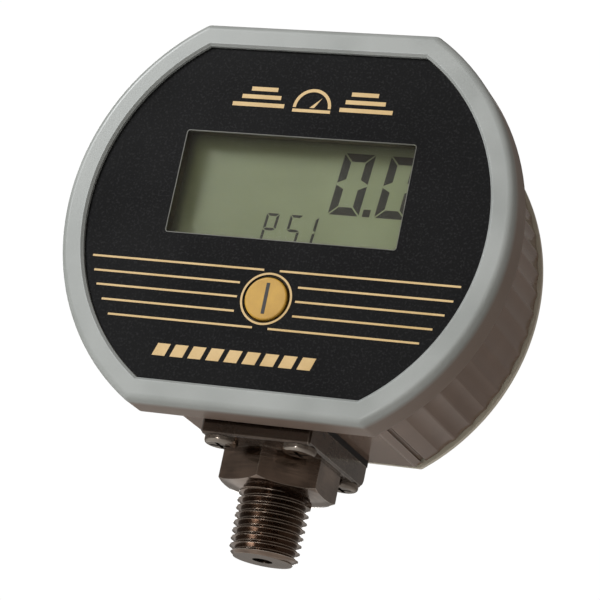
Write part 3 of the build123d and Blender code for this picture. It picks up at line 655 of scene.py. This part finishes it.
def make_steel_streaks():
    """Metal with fine streaks: bright and dull tones drawn out along the direction of the stretch."""
    tree, start, end = shader_group("steel_streaks", [
        ("Bright", "NodeSocketColor", (0.6, 0.6, 0.6, 1)),
        ("Dull", "NodeSocketColor", (0.4, 0.4, 0.4, 1)),
        ("Stretch", "NodeSocketVector", (1, 1, 1)),
        ("Scale", "NodeSocketFloat", 500.0),
        ("Stain Scale", "NodeSocketFloat", 150.0),
        ("Gloss Low", "NodeSocketFloat", 0.15),
        ("Gloss High", "NodeSocketFloat", 0.35),
    ], [("Colour", "NodeSocketColor"), ("Roughness", "NodeSocketFloat"), ("Height", "NodeSocketFloat")])
    place = own_coordinates(tree)
    drawn = tree.nodes.new("ShaderNodeVectorMath")
    drawn.operation = "MULTIPLY"
    tree.links.new(place, drawn.inputs[0])
    tree.links.new(start["Stretch"], drawn.inputs[1])
    streak = add_noise(tree, drawn.outputs["Vector"], start["Scale"], 3.0)
    stain = add_noise(tree, place, start["Stain Scale"], 4.0)
    both = add_math(tree, "ADD", add_range(tree, streak, 0.3, 0.7, -0.25, 0.25),
                    add_range(tree, stain, 0.35, 0.65, 0.0, 1.0))
    tree.links.new(add_mix(tree, both, start["Dull"], start["Bright"]), end["Colour"])
    gloss = add_range(tree, both, 0.0, 1.0, start["Gloss High"], start["Gloss Low"])
    tree.links.new(gloss, end["Roughness"])
    tree.links.new(streak, end["Height"])
    return tree


steel_streaks = make_steel_streaks()


def steel(name, bright, dull, stretch, gloss, relief, edge_tone=None):
    """A metal finish with streaks, and bright worn edges where an edge tone is given."""
    material, tree, shader = new_material(name)
    streaks = use_group(material, steel_streaks, Bright=bright, Dull=dull, Stretch=stretch,
                        Gloss_Low=gloss[0], Gloss_High=gloss[1])
    shader.inputs["Metallic"].default_value = 1.0
    colour = streaks.outputs["Colour"]
    if edge_tone is not None:
        worn = use_group(material, edge_wear_and_highlight, Reach=metal_wear_reach, Amount=metal_wear).outputs["Mask"]
        colour = add_mix(tree, worn, colour, edge_tone)
    tree.links.new(colour, shader.inputs["Base Color"])
    tree.links.new(streaks.outputs["Roughness"], shader.inputs["Roughness"])
    add_bump(material, streaks.outputs["Height"], relief)
    return material


screw_steel = steel("screw_steel", screw_bright, screw_dull, (1, 1, 1), (0.14, 0.26), 0.004 * mm)
for node in ("sensor_flange_screws", "rear_cover_screws", "board_screws"):
    finish_node(node, screw_steel)
spring_steel = steel("spring_steel", spring_bright, spring_dull, (1, 8, 8), (0.2, 0.35), 0.003 * mm)
for node in ("battery_contact_plates", "battery_contact_springs", "switch_dome", "display_reflector"):
    finish_node(node, spring_steel)


# Cells: two AA cells in printed plastic sleeves, dark with one warm band at an end. They lie in the
# holder between the contact springs.
sleeve_dark, sleeve_band, sleeve_scuff = (0.02, 0.025, 0.045, 1), (0.48, 0.27, 0.08, 1), (0.22, 0.22, 0.23, 1)
band_start, band_blend = 0.70, 0.005


def cell_sleeve(node):
    low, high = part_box(node)
    material, tree, shader = new_material(node + "_sleeve")
    place = own_coordinates(tree)
    split = tree.nodes.new("ShaderNodeSeparateXYZ")
    tree.links.new(place, split.inputs["Vector"])
    along = add_range(tree, split.outputs["X"], low.x, high.x, 0.0, 1.0)
    band = add_range(tree, along, band_start, band_start + band_blend, 0.0, 1.0)
    scuffs = add_range(tree, add_noise(tree, place, 700.0, 4.0), 0.5, 0.7, 0.0, 0.4)
    print_colour = add_mix(tree, band, sleeve_dark, sleeve_band)
    tree.links.new(add_mix(tree, scuffs, print_colour, sleeve_scuff), shader.inputs["Base Color"])
    tree.links.new(add_range(tree, scuffs, 0.0, 0.4, 0.25, 0.5), shader.inputs["Roughness"])
    return material


for node in ("battery_cell_lower", "battery_cell_upper"):
    finish_node(node, cell_sleeve(node))


# Flange, fitting and nut: turned and milled stainless steel with a brown oil-dark finish. The
# fitting's hexagon, neck and taper thread are cut in one piece, and the flange clamps it.
fitting_bright = (0.26, 0.185, 0.140, 1)
fitting_dull = (0.10, 0.066, 0.046, 1)
fitting_edge = (0.60, 0.54, 0.47, 1)
oil_film, oil_gloss = 0.8, 0.12
flange_bright, flange_dull = (0.085, 0.058, 0.042, 1), (0.040, 0.026, 0.018, 1)
milled_steel = steel("milled_steel", flange_bright, flange_dull, (6, 1, 6), (0.16, 0.30), 0.004 * mm,
                     fitting_edge)
turned_steel = steel("turned_steel", fitting_bright, fitting_dull, (0.4, 0.4, 9), (0.14, 0.28), 0.004 * mm,
                     fitting_edge)
for oiled in (milled_steel, turned_steel):
    oiled_shader = principled(oiled)
    oiled_shader.inputs["Coat Weight"].default_value = oil_film
    oiled_shader.inputs["Coat Roughness"].default_value = oil_gloss
finish_node("sensor_flange", milled_steel)
for node in ("pressure_fitting", "retaining_nut", "sensor_cell"):
    finish_node(node, turned_steel)


# Set: a plain pale floor below the gauge, soft studio lamps, and the camera below and to the
# right of the face, looking up at it.
floor_level = -0.30
floor_half = 4.0
paper_white, paper_white_dull = (0.90, 0.90, 0.89, 1), (0.86, 0.86, 0.85, 1)
floor_mesh = bmesh.new()
corners = [(-floor_half, -floor_half), (floor_half, -floor_half), (floor_half, floor_half),
           (-floor_half, floor_half)]
floor_mesh.faces.new([floor_mesh.verts.new((x, y, floor_level)) for x, y in corners])
floor_data = bpy.data.meshes.new("floor")
floor_mesh.to_mesh(floor_data)
floor_mesh.free()
floor = bpy.data.objects.new("floor", floor_data)
bpy.context.scene.collection.objects.link(floor)
paper, paper_tree, paper_shader = new_material("pale_paper")
paper_noise = add_noise(paper_tree, own_coordinates(paper_tree), 30.0, 4.0)
paper_fibre = add_range(paper_tree, paper_noise, 0.3, 0.7, 0.0, 1.0)
paper_colour = add_mix(paper_tree, paper_fibre, paper_white_dull, paper_white)
paper_tree.links.new(paper_colour, paper_shader.inputs["Base Color"])
paper_shader.inputs["Roughness"].default_value = 0.9
floor_data.materials.append(paper)

middle = Vector((0, -0.004, 0.05))
sky_colour, sky_strength, backdrop_strength = (1.0, 0.91, 0.83, 1), 0.22, 1.02
lamps = [
    ("key_lamp", (-0.60, -0.68, 0.47), 0.35, 6.5, (0.97, 0.99, 1.0)),
    ("fill_lamp", (-0.08, -0.98, -0.10), 0.16, 1.7, (1.0, 0.98, 0.95)),
    ("back_lamp", (-0.50, 0.85, 0.30), 0.60, 3.0, (1.0, 0.98, 0.95)),
]
for name, place, size, watts, colour in lamps:
    lamp = bpy.data.lights.new(name, "AREA")
    lamp.shape = "SQUARE"
    lamp.size = size
    lamp.energy = watts
    lamp.color = colour
    holder = bpy.data.objects.new(name, lamp)
    bpy.context.scene.collection.objects.link(holder)
    holder.location = middle + Vector(place)
    holder.rotation_euler = (-Vector(place)).to_track_quat("-Z", "Y").to_euler()

world = bpy.data.worlds.new("studio")
bpy.context.scene.world = world
world.use_nodes = True
sky_tree = world.node_tree
sky = sky_tree.nodes["Background"]
sky.inputs["Color"].default_value = sky_colour
sky.inputs["Strength"].default_value = sky_strength
backdrop = sky_tree.nodes.new("ShaderNodeBackground")
backdrop.inputs["Color"].default_value = (1, 1, 1, 1)
backdrop.inputs["Strength"].default_value = backdrop_strength
seen = sky_tree.nodes.new("ShaderNodeLightPath")
pick = sky_tree.nodes.new("ShaderNodeMixShader")
sky_tree.links.new(seen.outputs["Is Camera Ray"], pick.inputs["Fac"])
sky_tree.links.new(sky.outputs["Background"], pick.inputs[1])
sky_tree.links.new(backdrop.outputs["Background"], pick.inputs[2])
sky_tree.links.new(pick.outputs["Shader"], sky_tree.nodes["World Output"].inputs["Surface"])
bpy.context.scene.view_settings.view_transform = "Standard"

camera_place = Vector((0.18037, -0.43709, -0.08453))
camera_right = Vector((0.92409, 0.32776, 0.19657))
camera_up = Vector((-0.08507, -0.32503, 0.94187))
camera_back = Vector((0.37260, -0.88709, -0.27247))
lens = bpy.data.cameras.new("reader")
lens.lens = 158.9
lens.sensor_width = 36.0
lens.clip_start = 0.01
camera = bpy.data.objects.new("reader", lens)
bpy.context.scene.collection.objects.link(camera)
turn = Matrix((camera_right, camera_up, camera_back)).transposed()
camera.matrix_world = Matrix.Translation(camera_place) @ turn.to_4x4()
bpy.context.scene.camera = camera
